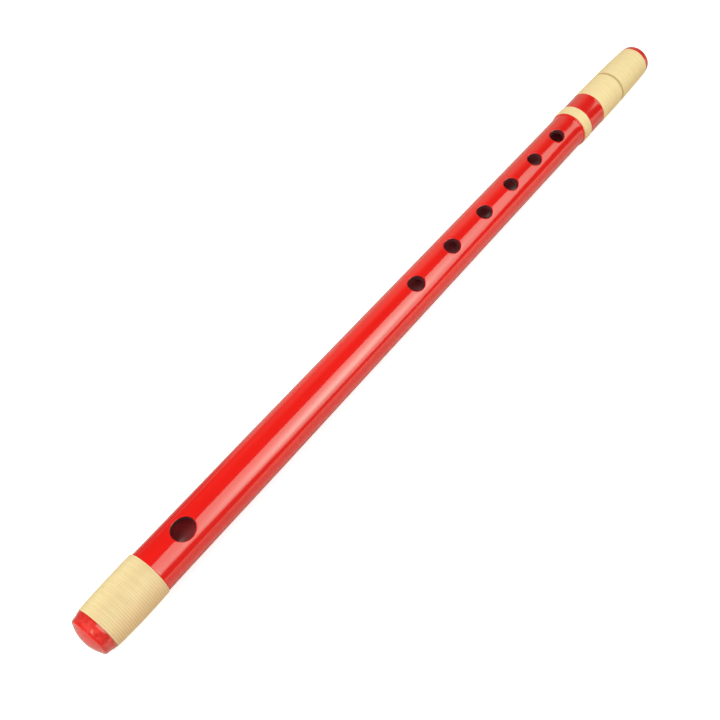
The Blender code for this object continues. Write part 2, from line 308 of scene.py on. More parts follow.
# %% Place the rings
HOLE_SIZES = {
    "mouth_hole": (11.4, 9.9),
    "finger_hole_1": (9.2, 8.0),
    "finger_hole_2": (9.0, 8.0),
    "finger_hole_3": (8.7, 7.6),
    "finger_hole_4": (8.3, 7.2),
    "finger_hole_5": (8.1, 7.2),
    "finger_hole_6": (8.5, 7.5),
}
OUTER_WINDOW = {"sides": 20, "rings": 20, "margin": 2.4}
INNER_WINDOW = {"sides": 32, "rings": 8, "margin": 1.6}
RIM_POINTS = 2 * (OUTER_WINDOW["sides"] + OUTER_WINDOW["rings"])
LEAST_STEP = 0.5


def hole_station(name):
    """The middle of a hole, from the middle of its opening's box in the record."""
    openings = frame["record"]["physics"]["openings"]
    low, high = next(o["box_m"] for o in openings if o["name"] == name)
    return (FRAME_TO_BENCH @ ((Vector(low) + Vector(high)) / 2)).x


HOLES = [(hole_station(name), length / 2, width / 2) for name, (length, width) in HOLE_SIZES.items()]


def ring_stations(start, end, window, spacing, extra=()):
    """Stations from start to end: the rings of each hole's window, and wide steps between."""
    fixed = [start, end]
    for at, half_length, _ in HOLES:
        reach = half_length + window["margin"]
        fixed += [at + reach * (2 * i / window["rings"] - 1) for i in range(window["rings"] + 1)]
    fixed += [a for a in extra if min(abs(a - b) for b in fixed) > LEAST_STEP]
    fixed.sort()
    stations = [fixed[0]]
    for before, after in zip(fixed, fixed[1:]):
        steps = math.ceil((after - before) / spacing)
        stations += [before + (after - before) * (i + 1) / steps for i in range(steps)]
    return stations


print("hole stations:", [round(at, 2) for at, _, _ in HOLES])

# %% Turn the tube
RING_SPACING = 4.0
BORE_SPACING = 15.0
barrel_start, barrel_end = head_seat[1] + BEAD[0][0], band_seat[0] - BEAD[0][0]
barrel_corners = [along for along, _ in barrel_run if barrel_start < along < barrel_end]
barrel_stations = ring_stations(barrel_start, barrel_end, OUTER_WINDOW, RING_SPACING, barrel_corners)


def tube_profile():
    """The whole outline: outside from the head to the tail, then back along the bore."""
    head_radius, ring_radius = ring_run[0][1], ring_run[-1][1]
    neck_radius, collar_radius = barrel_run[0][1], collar_run[0][1]
    land_radius, rim_radius = land_run[0][1], rim_run[0][1]
    face_radius = rim_run[-1][1]
    joint_end = JOINT + JOINT_ROUNDING
    profile = [(JOINT, BORE_RADIUS)]
    joint_corner = (joint_end, head_radius - JOINT_ROUNDING)
    profile += rounded_corner(joint_corner, (JOINT_ROUNDING,) * 2, 180, 90, CORNER_STEPS)
    bead_start = head_seat[0] - BEAD[0][0]
    for step in range(1, RING_STEPS):
        along = joint_end + (bead_start - joint_end) * step / RING_STEPS
        profile += [(along, radius_on(ring_run, along))]
    profile += bead_down(head_seat[0], ring_radius)
    profile += [(head_seat[0], neck_radius - SEAT_DEPTH), (head_seat[1], neck_radius - SEAT_DEPTH)]
    profile += bead_up(head_seat[1], neck_radius)[:-1]
    profile += [(along, radius_on(barrel_run, along)) for along in barrel_stations]
    profile += bead_down(band_seat[0], collar_radius)[1:]
    profile += [(band_seat[0], collar_radius - SEAT_DEPTH), (band_seat[1], collar_radius - SEAT_DEPTH)]
    profile += bead_up(band_seat[1], collar_radius) + bead_down(front_seat[0], collar_radius)
    profile += [(front_seat[0], land_radius - SEAT_DEPTH), (front_seat[1], land_radius - SEAT_DEPTH)]
    profile += [(front_seat[1], land_radius), (rear_seat[0], land_radius)]
    profile += [(rear_seat[0], rim_radius - SEAT_DEPTH), (rear_seat[1], rim_radius - SEAT_DEPTH)]
    rim_size = (tube_end - rear_seat[1], rim_radius - face_radius)
    profile += rounded_corner((rear_seat[1], face_radius), rim_size, 90, 0, RIM_STEPS)
    bore_corner = (tube_end - BORE_EDGE, BORE_RADIUS + BORE_EDGE)
    profile += rounded_corner(bore_corner, (BORE_EDGE,) * 2, 0, -90, CORNER_STEPS)
    bore = ring_stations(JOINT, tube_end - BORE_EDGE, INNER_WINDOW, BORE_SPACING)
    profile += [(along, BORE_RADIUS) for along in reversed(bore[:-1])]
    return profile


tube = turned("lacquered_tube", tube_profile())
print("tube turned with", len(tube_profile()), "points in its outline")

# %% [markdown]
# ## Modelling the holes
#
# A maker drills each hole, opens it to an oval with a knife, and the lacquer then rounds its rim.
# The rim's points stay on the tube's curved skin, so each one's height is worked out from its
# radius and not set to a flat plane. The rounding is a few more rims, each a little smaller and
# a little deeper, and the last is bridged to the rim of the window in the bore.

# %% Cut the windows and bridge them to the rims
RIM_ROUNDING = 0.5
ROUNDING_STEPS = 5
OUTER_CUTS, INNER_CUTS, WALL_RINGS = 3, 1, 3
SKIN_DEPTH = 1.0


def in_window(centre, at, half_length, window):
    """Whether a face's centre lies over a hole's window."""
    reach = half_length + window["margin"]
    half_angle = math.pi * window["sides"] / SIDES
    return abs(centre.x - at) < reach and abs(math.atan2(centre.y, centre.z)) < half_angle


def put_on_oval(piece, hole, grow, radius_at):
    """Moves the picked points to an oval this much larger than the hole, at their new radius."""
    at, half_length, half_width = hole
    mesh = bmesh.from_edit_mesh(piece.data)
    for point in (v for v in mesh.verts if v.select):
        angle = math.atan2(point.co.y / half_width, (point.co.x - at) / half_length)
        along = at + (half_length + grow) * math.cos(angle)
        across = (half_width + grow) * math.sin(angle)
        radius = radius_at(along)
        point.co = (along, across, math.sqrt(radius**2 - across**2))
    bmesh.update_edit_mesh(piece.data)


def put_on_skin(piece, radius_at):
    """Moves the picked points straight in or out to the skin."""
    mesh = bmesh.from_edit_mesh(piece.data)
    for point in (v for v in mesh.verts if v.select):
        scale = radius_at(point.co.x) / math.hypot(point.co.y, point.co.z)
        point.co = (point.co.x, point.co.y * scale, point.co.z * scale)
    bmesh.update_edit_mesh(piece.data)


def open_window(piece, hole, window, radius_at, grow, cuts):
    """Takes a window out of one skin and bridges its edge to an oval rim on the same skin."""
    at, half_length, _ = hole
    middle = radius_at(at)

    def over_hole(face):
        centre = face.calc_center_median()
        depth = abs(math.hypot(centre.y, centre.z) - middle)
        return depth < SKIN_DEPTH and in_window(centre, at, half_length, window)

    def open_edge(edge):
        ends = [vertex.co for vertex in edge.verts]
        close = all(abs(end.x - at) < half_length + window["margin"] + NEAR for end in ends)
        on_skin = all(abs(math.hypot(end.y, end.z) - middle) < SKIN_DEPTH for end in ends)
        return close and on_skin and (edge.is_boundary or edge.is_wire)

    pick(piece, "FACE", over_hole)
    bpy.ops.mesh.delete(type="FACE")
    bpy.ops.mesh.select_mode(type="VERT")
    bpy.ops.mesh.primitive_circle_add(vertices=RIM_POINTS, radius=half_length, location=(at, 0, middle))
    put_on_oval(piece, hole, grow, radius_at)
    pick(piece, "EDGE", open_edge)
    bpy.ops.mesh.bridge_edge_loops(number_cuts=cuts)
    put_on_skin(piece, radius_at)


def make_hole(piece, hole):
    """One hole: window, rim, rounding, and the wall down to the bore."""
    at, half_length, _ = hole

    def skin(along):
        return radius_on(barrel_run, along)

    open_window(piece, hole, OUTER_WINDOW, skin, RIM_ROUNDING, OUTER_CUTS)
    reach = half_length + RIM_ROUNDING + NEAR

    def open_rim(edge):
        return edge.is_boundary and all(abs(v.co.x - at) < reach and v.co.z > 0 for v in edge.verts)

    pick(piece, "EDGE", open_rim)
    for step in range(1, ROUNDING_STEPS + 1):
        angle = math.radians(90 * step / ROUNDING_STEPS)
        grow = RIM_ROUNDING * (1 - math.sin(angle))
        depth = RIM_ROUNDING * (1 - math.cos(angle))
        bpy.ops.mesh.extrude_region_move()
        put_on_oval(piece, hole, grow, lambda along: skin(along) - depth)
    open_window(piece, hole, INNER_WINDOW, lambda along: BORE_RADIUS, 0.0, INNER_CUTS)
    pick(piece, "EDGE", open_rim)
    bpy.ops.mesh.bridge_edge_loops(number_cuts=WALL_RINGS)


for hole in HOLES:
    make_hole(tube, hole)
bpy.ops.mesh.select_all(action="SELECT")
bpy.ops.mesh.normals_make_consistent(inside=False)
open_edges = sum(edge.is_boundary for edge in bmesh.from_edit_mesh(tube.data).edges)
print("holes modelled:", len(HOLES), "and edges left open:", open_edges)

# %% [markdown]
# ## Hand-made, not machined
#
# Bamboo is never quite round, and lacquer flows before it sets. A real reflection therefore
# wanders a little along the tube. The cheapest way would be a bump in the material, but then the
# outline would stay ruler straight, so the skin itself is moved by a few hundredths of a
# millimetre. The ring at the head is the thickest lacquer, with lumps a finger can feel. Each
# is given by its station, its angle, its height and its width.

# %% Ripple the skin and add the lumps at the head
RIPPLE = 0.022
SLOW_WAVE, QUICK_WAVE = 46.0, 15.0
QUICK_FROM, QUICK_ROUND, QUICK_SHARE = 40.0, 1.6, 0.35
LUMPS = (
    (3.2, -8.0, 0.12, 1.0),
    (2.6, 22.0, 0.07, 0.7),
    (3.4, -34.0, 0.14, 1.2),
    (5.4, 12.0, 0.13, 0.9),
    (5.0, -32.0, 0.09, 1.3),
    (6.2, 24.0, 0.1, 0.8),
    (4.4, 40.0, 0.08, 1.2),
    (5.6, 75.0, 0.1, 1.0),
    (4.9, 140.0, 0.12, 1.1),
    (6.0, -100.0, 0.1, 1.0),
    (5.2, -160.0, 0.1, 0.9),
)
LOOKING_FROM = 15.0
HALF_WALL = 1.5


def ripple(along, angle):
    """How far the skin stands out here: slow waves along the tube, slightly oval across it."""
    side, up = math.cos(angle), math.sin(angle)
    slow = noise.noise((along / SLOW_WAVE, side, up))
    quick = noise.noise((along / QUICK_WAVE + QUICK_FROM, QUICK_ROUND * side, QUICK_ROUND * up))
    return RIPPLE * (slow + QUICK_SHARE * quick)


def lumps(along, angle):
    """The rise of the lacquer lumps near the head; their angles are given from the viewer's side."""
    rise = 0.0
    for at, degrees, height, width in LUMPS:
        turned_by = math.remainder(angle + math.radians(LOOKING_FROM + degrees), math.tau)
        apart = turned_by * ring_run[-1][1]
        rise += height * math.exp(-((along - at) ** 2 + apart**2) / width**2)
    return rise


def work_by_hand(piece, rise, inside):
    """Moves the points outside a given radius in or out by a rule."""
    for vertex in piece.data.vertices:
        radius = math.hypot(vertex.co.y, vertex.co.z)
        if radius > inside:
            scale = 1 + rise(vertex.co.x, math.atan2(vertex.co.y, vertex.co.z)) / radius
            vertex.co.y *= scale
            vertex.co.z *= scale


bpy.ops.object.mode_set(mode="OBJECT")
skin_from = BORE_RADIUS + HALF_WALL
work_by_hand(tube, lambda along, angle: ripple(along, angle) + lumps(along, angle), skin_from)
print("largest lump", max(height for _, _, height, _ in LUMPS), "mm high")

# %% [markdown]
# The material has to know which faces are inside the bore and which are bare bamboo between the
# two tail windings. A mask painted on the points does that, and unlike a position in space it
# stays right however the flute lies. Towards a hole's wall the mask fades in over the rounding.
# A third mask tells the bore from the walls of the holes, which are painted darker as painted shade.

# %% Paint the masks on the tube
WALL_FADE = (0.12, 0.42)


def smooth_step(value, low, high):
    """Runs from 0 to 1 as the value goes from low to high, with soft ends."""
    share = min(max((value - low) / (high - low), 0.0), 1.0)
    return share * share * (3 - 2 * share)


def paint(piece, name, rule):
    """Stores a number for each point, worked out from its place on the bench."""
    layer = piece.data.attributes.new(name, "FLOAT", "POINT")
    for vertex, stored in zip(piece.data.vertices, layer.data):
        stored.value = rule(vertex.co)


def inside_mask(point):
    """1 in the bore and on the holes' walls, 0 on the skin."""
    radius = math.hypot(point.y, point.z)
    if point.x > rear_seat[1]:
        return 1 - smooth_step(radius, BORE_RADIUS, BORE_RADIUS + BORE_EDGE)
    if not barrel_start < point.x < barrel_end:
        return float(radius < BORE_RADIUS + NEAR)
    return smooth_step(radius_on(barrel_run, point.x) - radius, *WALL_FADE)


def deep_mask(point):
    """1 in the bore, 0 on the holes' walls, their edges and the skin."""
    for at, half_length, half_width in HOLES:
        if point.z > 0 and math.hypot((point.x - at) / half_length, point.y / half_width) < 1 + NEAR:
            return 0.0
    return float(math.hypot(point.y, point.z) < BORE_RADIUS + NEAR)


def bare_mask(point):
    """1 on the bare bamboo between the two tail windings."""
    return float(front_seat[0] < point.x < rear_seat[1] - NEAR)


paint(tube, "inside", inside_mask)
paint(tube, "bare", bare_mask)
paint(tube, "deep", deep_mask)
lay_down(tube)
stands_for(tube, "bamboo_tube")

# %% [markdown]
# ## The head plug
#
# A low dome of wood closes the head, and the lacquer runs over it and its joint with the tube.
# It is turned like the tube: a shallow arc, a soft corner, and the shank that fills the bore. A
# sphere cut by a plane would give the dome but not the corner, which is where the light breaks.

# %% Turn the plug
plug_points = on_bench("head_plug")
plug_radius = max(math.hypot(p.y, p.z) for p in plug_points)
plug_end = max(p.x for p in plug_points)
DOME_DEPTH, DOME_STEPS = 2.35, 14
CORNER, CORNER_SQUASH = 1.2, 0.9
CORNER_DEGREES = (30, 45, 60, 75, 90)
SHANK_RADIUS, SHANK_CHAMFER = BORE_RADIUS - 0.1, 0.6
PLUG_GAP = 0.01
PLUG_CORE = 1.0


def plug_profile():
    """From the tip over the dome and its corner to the shank's end."""
    sphere = ((plug_radius - CORNER / 2) ** 2 + DOME_DEPTH**2) / (2 * DOME_DEPTH)
    corner_radius = plug_radius - CORNER
    last = math.degrees(math.asin(corner_radius / sphere))
    dome = rounded_corner((sphere, 0.0), (sphere, sphere), 180, 180 - last, DOME_STEPS)
    corner = []
    for degrees in CORNER_DEGREES:
        angle = math.radians(degrees)
        along = dome[-1][0] + CORNER * (1 - math.cos(angle)) * CORNER_SQUASH
        corner.append((along, corner_radius + CORNER * math.sin(angle)))
    end = JOINT - PLUG_GAP
    body = [(end - JOINT_ROUNDING, plug_radius), (end, plug_radius - JOINT_ROUNDING)]
    shank = [(end, SHANK_RADIUS), (plug_end - SHANK_CHAMFER, SHANK_RADIUS)]
    shank += [(plug_end, SHANK_RADIUS - SHANK_CHAMFER), (plug_end, 0.0)]
    return dome + corner + body + shank


plug = turned("domed_plug", plug_profile())
bpy.ops.object.mode_set(mode="OBJECT")
work_by_hand(plug, lambda along, angle: lumps(along, angle) if along < JOINT else 0.0, PLUG_CORE)
lay_down(plug)
stands_for(plug, "head_plug")

# %% [markdown]
# ## The stopper
#
# Behind the plug the bore is empty up to a cork, which ends the air column just before the mouth
# hole. Only its face shows, deep in the mouth hole, so a cylinder with bevelled ends is enough.

# %% Make the cork
CORK_GAP, CORK_SIDES, CORK_BEVEL, BEVEL_STEPS = 0.05, 64, 0.5, 3

cork_points = on_bench("stopper")
cork_start, cork_end = min(p.x for p in cork_points), max(p.x for p in cork_points)
cork = start_piece(
    "cork_stopper", bpy.ops.mesh.primitive_cylinder_add, vertices=CORK_SIDES,
    radius=BORE_RADIUS - CORK_GAP, depth=cork_end - cork_start,
    location=((cork_start + cork_end) / 2, 0, 0), rotation=(0, math.pi / 2, 0),
)
bpy.ops.object.mode_set(mode="OBJECT")
bpy.ops.object.transform_apply(location=True, rotation=True, scale=True)
bpy.ops.object.mode_set(mode="EDIT")
pick(cork, "EDGE", lambda edge: abs(edge.verts[0].co.x - edge.verts[1].co.x) < NEAR)
bpy.ops.mesh.bevel(offset=CORK_BEVEL, segments=BEVEL_STEPS)
lay_down(cork)
stands_for(cork, "stopper")

# %% [markdown]
# ## The rattan windings
#
# Split rattan is a flat strip with a shiny outer skin. Its turns lie edge to edge, its two ends
# are pared to long points so that the winding ends square, and each strip is one unbroken piece.
# Rings side by side would look alike at first, but the turns of a real winding climb. So one
# section is drawn, its outer corners are bevelled, and a Screw modifier winds it. It is wound one
# turn too long, and a bisect at each end of the seat pares the strip just as a knife would.

# %% Wind a strip
STEPS_PER_TURN = 72
STRIP_THICKNESS = 0.52
SLIT, END_SLIT = 0.04, 0.04
EDGE_BEVEL, TOP_CUTS = 0.2, 3
WANDER, OUTWARD_BEAT, SIDEWAYS_BEAT, SIDEWAYS_SEED = 0.006, 1.3, 1.7, 9.0
HEAVY_ANGLE, HEAVY_RISE = math.radians(75), (0.55, 0.95)
END_DROP = 0.05
END_LENGTH = 0.7
WINDING_CREASE = math.radians(50)


def strip_section(name, pitch, start, radius):
    """The strip's section, standing on the axis's upper side just before the seat."""
    width = pitch - SLIT
    section = start_piece(name, bpy.ops.mesh.primitive_plane_add, size=1.0, rotation=(math.pi / 2, 0, 0))
    bpy.ops.transform.resize(value=(width, 1.0, STRIP_THICKNESS))
    bpy.ops.transform.translate(value=(start, 0.0, radius - STRIP_THICKNESS / 2))
    pick(section, "VERT", lambda vertex: vertex.co.z > radius - STRIP_THICKNESS / 2)
    bpy.ops.mesh.bevel(offset=EDGE_BEVEL, segments=BEVEL_STEPS, affect="VERTICES")
    pick(section, "EDGE", lambda edge: all(vertex.co.z > radius - NEAR / 10 for vertex in edge.verts))
    bpy.ops.mesh.subdivide(number_cuts=TOP_CUTS)
    pick(section, "FACE", lambda face: True)
    bpy.ops.mesh.delete(type="ONLY_FACE")
    bpy.ops.object.mode_set(mode="OBJECT")
    bpy.ops.object.transform_apply(location=True, rotation=True, scale=True)
    return section


def wind(section, pitch, turns):
    """Winds the section and remembers for each point its turn and its place across the strip."""
    points = [vertex.co.copy() for vertex in section.data.vertices]
    left = min(point.x for point in points)
    screw = section.modifiers.new("Wound", "SCREW")
    screw.axis = "X"
    screw.steps = STEPS_PER_TURN
    screw.render_steps = STEPS_PER_TURN
    screw.screw_offset = pitch
    screw.iterations = turns
    screw.use_smooth_shade = True
    bpy.ops.object.modifier_apply(modifier=screw.name)
    turn = section.data.attributes.new("turn", "FLOAT", "POINT")
    across = section.data.attributes.new("across", "FLOAT", "POINT")
    for i in range(len(section.data.vertices)):
        turn.data[i].value = (i // len(points)) / STEPS_PER_TURN
        across.data[i].value = (points[i % len(points)].x - left) / (pitch - SLIT)


def lie_in_seat(winding, seat, radii, shape, seed):
    """Gives the wound strip the seat's taper and swell, a slight camber and an uneven hand."""
    first, last, swell = radii
    nominal = first
    camber_depth, heavy_side = shape
    turn = winding.data.attributes["turn"].data
    across = winding.data.attributes["across"].data
    for i, vertex in enumerate(winding.data.vertices):
        share = min(max((vertex.co.x - seat[0]) / (seat[1] - seat[0]), 0.0), 1.0)
        radius = math.hypot(vertex.co.y, vertex.co.z)
        outside = smooth_step(radius, nominal - STRIP_THICKNESS, nominal)
        camber = camber_depth * ((2 * across[i].value - 1) ** 2) * outside
        facing = max(math.cos(math.atan2(vertex.co.y, vertex.co.z) - HEAVY_ANGLE), 0.0)
        heavy = heavy_side * smooth_step(share, *HEAVY_RISE) * facing**2 * outside
        uneven = WANDER * noise.noise((turn[i].value * OUTWARD_BEAT, seed, 0.0))
        goal = first + (last - first) * share + 4 * swell * share * (1 - share)
        to_end = min(share, 1 - share) * (seat[1] - seat[0])
        drop = END_DROP * (1 - smooth_step(to_end, 0.0, END_LENGTH))
        scale = (radius + goal - nominal - camber + heavy - (drop - uneven) * outside) / radius
        vertex.co.x += WANDER * noise.noise((turn[i].value * SIDEWAYS_BEAT, seed, SIDEWAYS_SEED))
        vertex.co.y *= scale
        vertex.co.z *= scale


def pare_end(at, beyond):
    """Cuts the open piece square at a station and closes the cut; beyond is +1 to keep what follows."""
    bpy.ops.mesh.select_all(action="SELECT")
    bpy.ops.mesh.bisect(
        plane_co=(at, 0, 0), plane_no=(1, 0, 0), use_fill=True,
        clear_inner=beyond > 0, clear_outer=beyond < 0,
    )


def wound(name, node, seat, turns, radii, shape, seed):
    """A whole winding in its seat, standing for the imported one."""
    pitch = (seat[1] - seat[0]) / turns
    winding = strip_section(name, pitch, seat[0] - pitch / 2, radii[0])
    wind(winding, pitch, turns + 1)
    lie_in_seat(winding, seat, radii, shape, seed)
    bpy.ops.object.mode_set(mode="EDIT")
    bpy.ops.mesh.select_all(action="SELECT")
    bpy.ops.mesh.edge_face_add()
    pare_end(seat[0] + END_SLIT, 1)
    pare_end(seat[1] - END_SLIT, -1)
    bpy.ops.mesh.select_all(action="SELECT")
    bpy.ops.mesh.normals_make_consistent(inside=False)
    lay_down(winding, WINDING_CREASE)
    for vertex in winding.data.vertices:
        vertex.co.z = max(vertex.co.z, 0.0)
    stands_for(winding, node)
    print(f"{name}: {turns} turns, {pitch:.2f} mm apart")
    return winding


# %% [markdown]
# The radii outside each winding come from the skin beside it and from how far the strip stands
# proud. The head winding swells in its middle, and its strip is rounder, with a heavy side. Its
# count, about twenty-seven turns, fits the measured distance between them. The counts of the
# band and the tail are estimates, because turns so fine can't be told apart there.

# %% Wind all four
HEAD_PROUD = (0.4, 0.43, 0.375)
BAND_PROUD = (0.26, 0.26, 0.0)
FRONT_PROUD = (0.16, 0.29, 0.0)
REAR_PROUD = (0.28, 0.08, 0.07)
ROUND, FLAT = (0.08, 0.24), (0.02, 0.0)


def outside(before, after, proud):
    """Radii outside the first and last turns, and the swell between them."""
    return (before + proud[0], after + proud[1], proud[2])


ring_radius, neck_radius = ring_run[-1][1], barrel_run[0][1]
collar_radius, land_radius, rim_radius = collar_run[0][1], land_run[0][1], rim_run[0][1]
head_radii = outside(ring_radius, neck_radius, HEAD_PROUD)
band_radii = outside(collar_radius, collar_radius, BAND_PROUD)
front_radii = outside(collar_radius, land_radius, FRONT_PROUD)
rear_radii = outside(land_radius, rim_radius, REAR_PROUD)
WINDINGS = (
    ("head_strip", "head_winding", head_seat, 27, head_radii, ROUND),
    ("band_strip", "band_winding", band_seat, 6, band_radii, FLAT),
    ("front_strip", "tail_winding_front", front_seat, 18, front_radii, FLAT),
    ("rear_strip", "tail_winding_rear", rear_seat, 24, rear_radii, FLAT),
)
windings = [wound(*details, seed) for seed, details in enumerate(WINDINGS, start=1)]
print("pieces dressed:", len([tube, plug, cork, *windings]))

# %% [markdown]
# ## A way to write materials
#
# Every finish here is worked out from positions and noise, with no pictures. Node trees soon get
# hard to read when each sum takes four lines, so a socket is wrapped in a small class that knows
# plus, minus, times and divide. All other nodes are added by one method, by type and by input.

# %% Shader maths as plain maths


class Value:
    """An output in a finish's node tree, which can be used in a formula like a number."""

    def __init__(self, finish, socket):
        self.finish = finish
        self.socket = socket

    def maths(self, operation, *terms):
        return self.finish.node("ShaderNodeMath", {"operation": operation}, dict(enumerate(terms)))

    def __add__(self, other):
        return self.maths("ADD", self, other)

    def __radd__(self, other):
        return self.maths("ADD", other, self)

    def __sub__(self, other):
        return self.maths("SUBTRACT", self, other)

    def __rsub__(self, other):
        return self.maths("SUBTRACT", other, self)

    def __mul__(self, other):
        return self.maths("MULTIPLY", self, other)

    def __rmul__(self, other):
        return self.maths("MULTIPLY", other, self)

    def __truediv__(self, other):
        return self.maths("DIVIDE", self, other)

    def power_of_e(self):
        return self.maths("EXPONENT", self)

    def least(self, other):
        return self.maths("MINIMUM", self, other)


class Finish:
    """The nodes of one material, light or world."""

    def __init__(self, owner):
        owner.use_nodes = True
        self.owner = owner
        self.tree = owner.node_tree
        self.tree.nodes.clear()

    def node(self, kind, settings=None, inputs=None, output=0):
        """Adds a node with its settings, joins or sets its inputs, and gives one output."""
        node = self.tree.nodes.new(kind)
        for setting, value in (settings or {}).items():
            setattr(node, setting, value)
        for slot, given in (inputs or {}).items():
            if isinstance(given, Value):
                self.tree.links.new(given.socket, node.inputs[slot])
            else:
                node.inputs[slot].default_value = given
        return Value(self, node.outputs[output]) if node.outputs else None

    def blend(self, share, first, second):
        """A colour between two colours."""
        return self.node("ShaderNodeMix", {"data_type": "RGBA"}, {0: share, 6: first, 7: second}, 2)

    def ramp(self, value, low, high):
        """A soft step from 0 to 1."""
        limits = {"Value": value, "From Min": low, "From Max": high}
        return self.node("ShaderNodeMapRange", {"interpolation_type": "SMOOTHSTEP"}, limits)

    def noise(self, vector, size, detail=2.0):
        """Noise from 0 to 1 whose lumps are about this large."""
        return self.node("ShaderNodeTexNoise", None, {"Vector": vector, "Scale": 1 / size, "Detail": detail})

    def place(self, stretch=(1.0, 1.0, 1.0)):
        """The point's place on the object in millimetres, stretched as asked."""
        metres = self.node("ShaderNodeTexCoord", output="Object")
        scale = tuple(1 / (MM * part) for part in stretch)
        return self.node("ShaderNodeVectorMath", {"operation": "MULTIPLY"}, {0: metres, 1: scale})

    def painted(self, name):
        """A mask painted on the piece's points."""
        return self.node("ShaderNodeAttribute", {"attribute_name": name}, output="Fac")

    def point(self, *parts):
        """A vector made of its x, y and z."""
        return self.node("ShaderNodeCombineXYZ", None, dict(enumerate(parts)))

    def parts(self, vector):
        """The x, y and z of a vector."""
        split = self.node("ShaderNodeSeparateXYZ", None, {0: vector})
        return [Value(self, output) for output in split.socket.node.outputs]

    def bump(self, height, depth):
        """A normal from a height of 0 to 1 that stands for this many millimetres."""
        return self.node("ShaderNodeBump", None, {"Height": height, "Distance": depth * MM})

    def surface(self, inputs):
        """The one shader of a material."""
        shader = self.node("ShaderNodeBsdfPrincipled", None, inputs)
        self.node("ShaderNodeOutputMaterial", None, {"Surface": shader})


def paper_colour(red, green, blue):
    """A colour as an eye reads it off a screen, 0 to 255, made into the light that it stands for."""
    parts = [part / 255 for part in (red, green, blue)]
    return tuple(p / 12.92 if p <= 0.04045 else ((p + 0.055) / 1.055) ** 2.4 for p in parts) + (1.0,)


def wear(piece, material):
    """Puts one material on a piece."""
    piece.data.materials.clear()
    piece.data.materials.append(material)


print("finishes can be written as formulas")

# %% [markdown]
# ## Red lacquer
#
# Cinnabar-coloured lacquer is built up in coats and polished: a strong red body under a clear
# skin that mirrors the lamp sharply. One plain red with a low roughness would look like plastic.
# Here a clear coat with a sharp mirror lies over a softer red body. The coat's mirror wanders with
# the ripple of the skin itself, and a very faint bump breaks up the softer shine of the body. The
# red deepens towards the tail, the thick ring at the head is worn in spots, and the dome is paler
# with a softer mirror. Inside, the lacquer is old and thin and keeps less of its coat. The walls of
# the holes are painted dark as painted shade, and the bore is red, painted greyer from the finger
# holes on as a painted veil of stray light. The masks painted above choose between them.

# %% Mix the lacquer
LACQUER_RED = paper_colour(244, 21, 14)
LACQUER_DEEP = paper_colour(225, 16, 12)
LACQUER_THICK = paper_colour(222, 42, 36)
LACQUER_WORN = paper_colour(244, 64, 54)
LACQUER_DOME = paper_colour(240, 52, 44)
# The walls of the holes are near black: painted shade in the holes.
WALL_PAINTED_SHADE = (0.14, 0.028, 0.032, 1.0)
BORE_RED = (0.7, 0.1, 0.11, 1.0)
# A greyer red for the bore from the finger holes on: a painted veil of stray light.
BORE_PAINTED_VEIL = (0.74, 0.24, 0.26, 1.0)
BARE_BAMBOO = paper_colour(218, 192, 136)
BAMBOO_GRAIN = paper_colour(190, 162, 108)
LACQUER_INDEX, LACQUER_BUMP = 1.5, 0.02
BODY_ROUGHNESS, COAT_ROUGHNESS, DOME_ROUGHNESS = 0.14, 0.03, 0.12
WALL_ROUGHER, BORE_SMOOTHER, BARE_ROUGHER = 0.5, 0.3, 0.3
WALL_COAT_LOST, BORE_COAT_KEPT, BARE_COAT_LOST = 0.97, 0.45, 0.9
DRIFT_SHARE, TAIL_SHARE, TOWARDS_TAIL = 0.4, 0.6, (60.0, 150.0)
DRIFT_SPREAD, WORN_SPREAD = (0.35, 0.7), (0.3, 0.7)
RING_STARTS, RING_ENDS, RIM_STARTS = (-212.6, -211.4), (-206.0, -208.5), (211.5, 212.5)
VEIL_STARTS = (-120.0, -40.0)
DRIFT_SIZE, WAVE_SIZE, LUMP_SIZE, WORN_SIZE, MOTTLE_SIZE, GRAIN_SIZE = 9.0, 6.0, 1.8, 2.2, 2.5, 0.5
DRIFT_STRETCH, WAVE_STRETCH, GRAIN_STRETCH = (5.0, 1.0, 1.0), (4.0, 1.0, 1.0), (6.0, 1.0, 1.0)


